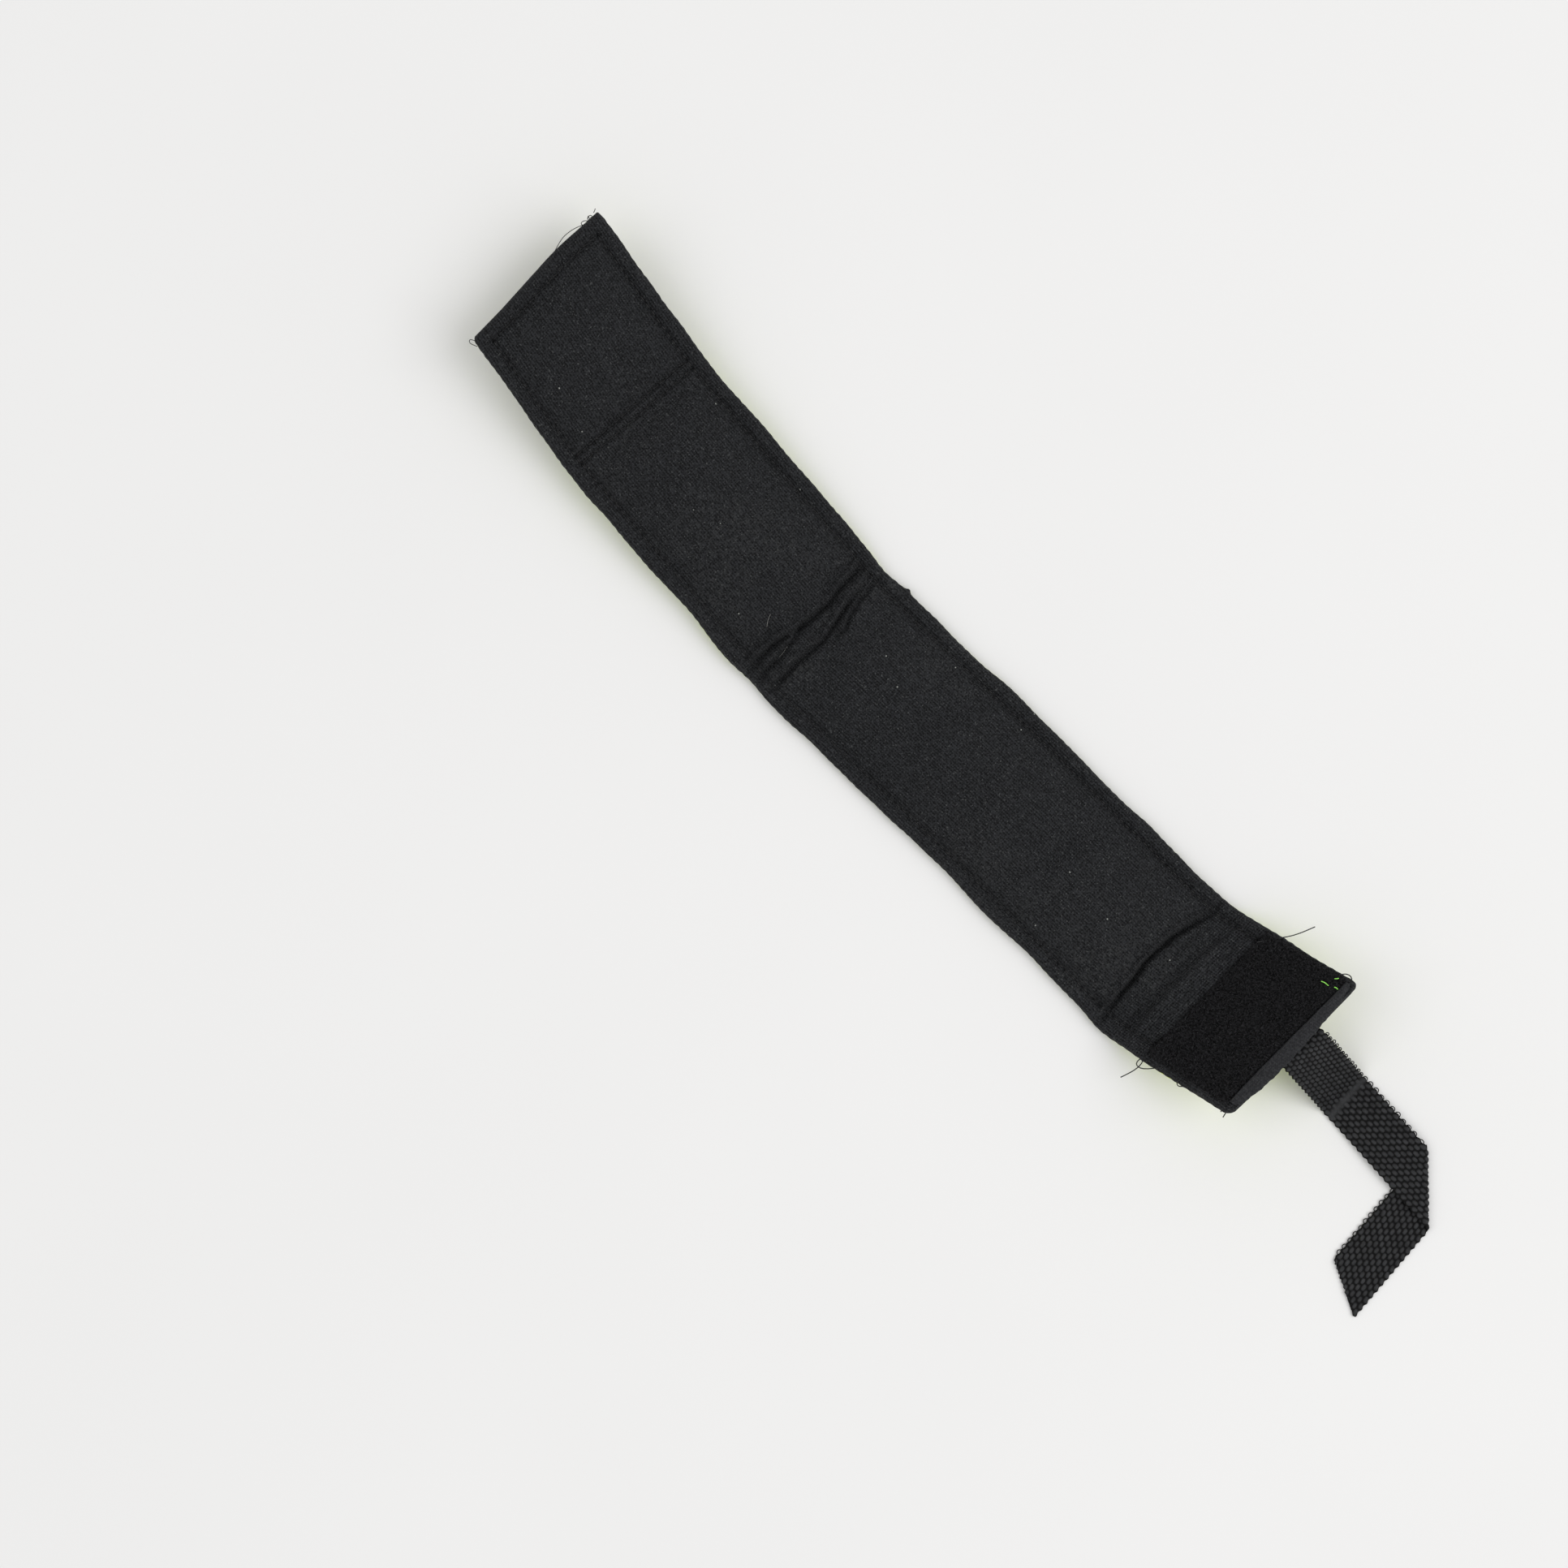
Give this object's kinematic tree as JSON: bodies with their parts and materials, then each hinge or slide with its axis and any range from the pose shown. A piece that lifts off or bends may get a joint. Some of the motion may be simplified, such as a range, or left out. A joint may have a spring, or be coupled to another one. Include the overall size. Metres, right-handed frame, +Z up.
{
  "type": "ankle cuff weight",
  "caption": "Soft ankle weight cuff lying open, skin side up: sand-filled pockets between black neoprene and yellow cloth, with a hook tab, a loop end and a webbing pull strap.",
  "frame": {"origin": "middle of the flat underside of the long weight pocket, on the surface that the cuff lies on", "axes": "+X along the band from the hook tab to the pull strap, +Y across the band, +Z up from the skin side"},
  "size_m": [0.467, 0.0915, 0.0304],
  "materials": {
    "neoprene_black": "matte fine-ribbed knit",
    "cloth_yellow": "hi-vis yellow woven cloth",
    "loop_black": "fuzzy loop pile",
    "hook_black": "stiff hook tape",
    "webbing_black": "woven polypropylene webbing, slight gloss",
    "thread_black": "sewing thread",
    "thread_green": "neon green thread",
    "bag_film": "thin film bag",
    "iron_sand": "loose grains"
  },
  "bodies": {
    "long_front": {"outer_panel_front": "cloth_yellow", "inner_panel_front": "neoprene_black", "pouch_front": "bag_film", "fill_front": "iron_sand", "edge_stitch_front": "thread_black"},
    "long_rear": {"outer_panel_rear": "cloth_yellow", "inner_panel_rear": "neoprene_black", "pouch_rear": "bag_film", "fill_rear": "iron_sand", "edge_stitch_rear": "thread_black"},
    "short_pocket": {"outer_panel_short": "cloth_yellow", "inner_panel_short": "neoprene_black", "pouch_short": "bag_film", "fill_short": "iron_sand", "edge_stitch_short": "thread_black", "cross_seam_stitch": "thread_black"},
    "hook_tab": {"outer_panel_tab": "cloth_yellow", "inner_panel_tab": "neoprene_black", "hook_patch": "hook_black", "box_stitch_tab": "thread_black"},
    "loop_end": {"outer_panel_end": "cloth_yellow", "inner_panel_end": "neoprene_black", "loop_patch": "loop_black", "end_binding": "neoprene_black", "bar_tack": "thread_green", "strap_tail": "webbing_black"},
    "strap": {"strap": "webbing_black"},
    "strap_tip": {"strap_tip": "webbing_black"}
  },
  "joints": [
    {"name": "mid_flex", "type": "hinge", "parent": "long_front", "child": "long_rear", "pos_m": [0, 0, 0.0127], "axis": [0, 1, 0], "range_deg": [0, 90]},
    {"name": "crease_fold", "type": "hinge", "parent": "long_rear", "child": "short_pocket", "pos_m": [-0.0845, -0.001, 0.0047], "axis": [0.0872, 0.9962, 0], "range_deg": [-5, 100]},
    {"name": "tab_fold", "type": "hinge", "parent": "short_pocket", "child": "hook_tab", "pos_m": [-0.18711, 0.00817, 0.01371], "axis": [0.0872, 0.9962, 0], "range_deg": [-6, 83]},
    {"name": "end_fold", "type": "hinge", "parent": "long_front", "child": "loop_end", "pos_m": [0.0845, -0.0008, 0.0047], "axis": [0, -1, 0], "range_deg": [-25, 51]},
    {"name": "strap_swing", "type": "hinge", "parent": "loop_end", "child": "strap", "pos_m": [0.1377, 0.0113, 0.02642], "axis": [-0.0698, -0.9976, 0], "range_deg": [-20, 60]},
    {"name": "strap_unfold", "type": "hinge", "parent": "strap", "child": "strap_tip", "pos_m": [0.20853, 0.00635, 0.00155], "axis": [0.7071, -0.7071, 0], "range_deg": [0, 150]}
  ]
}
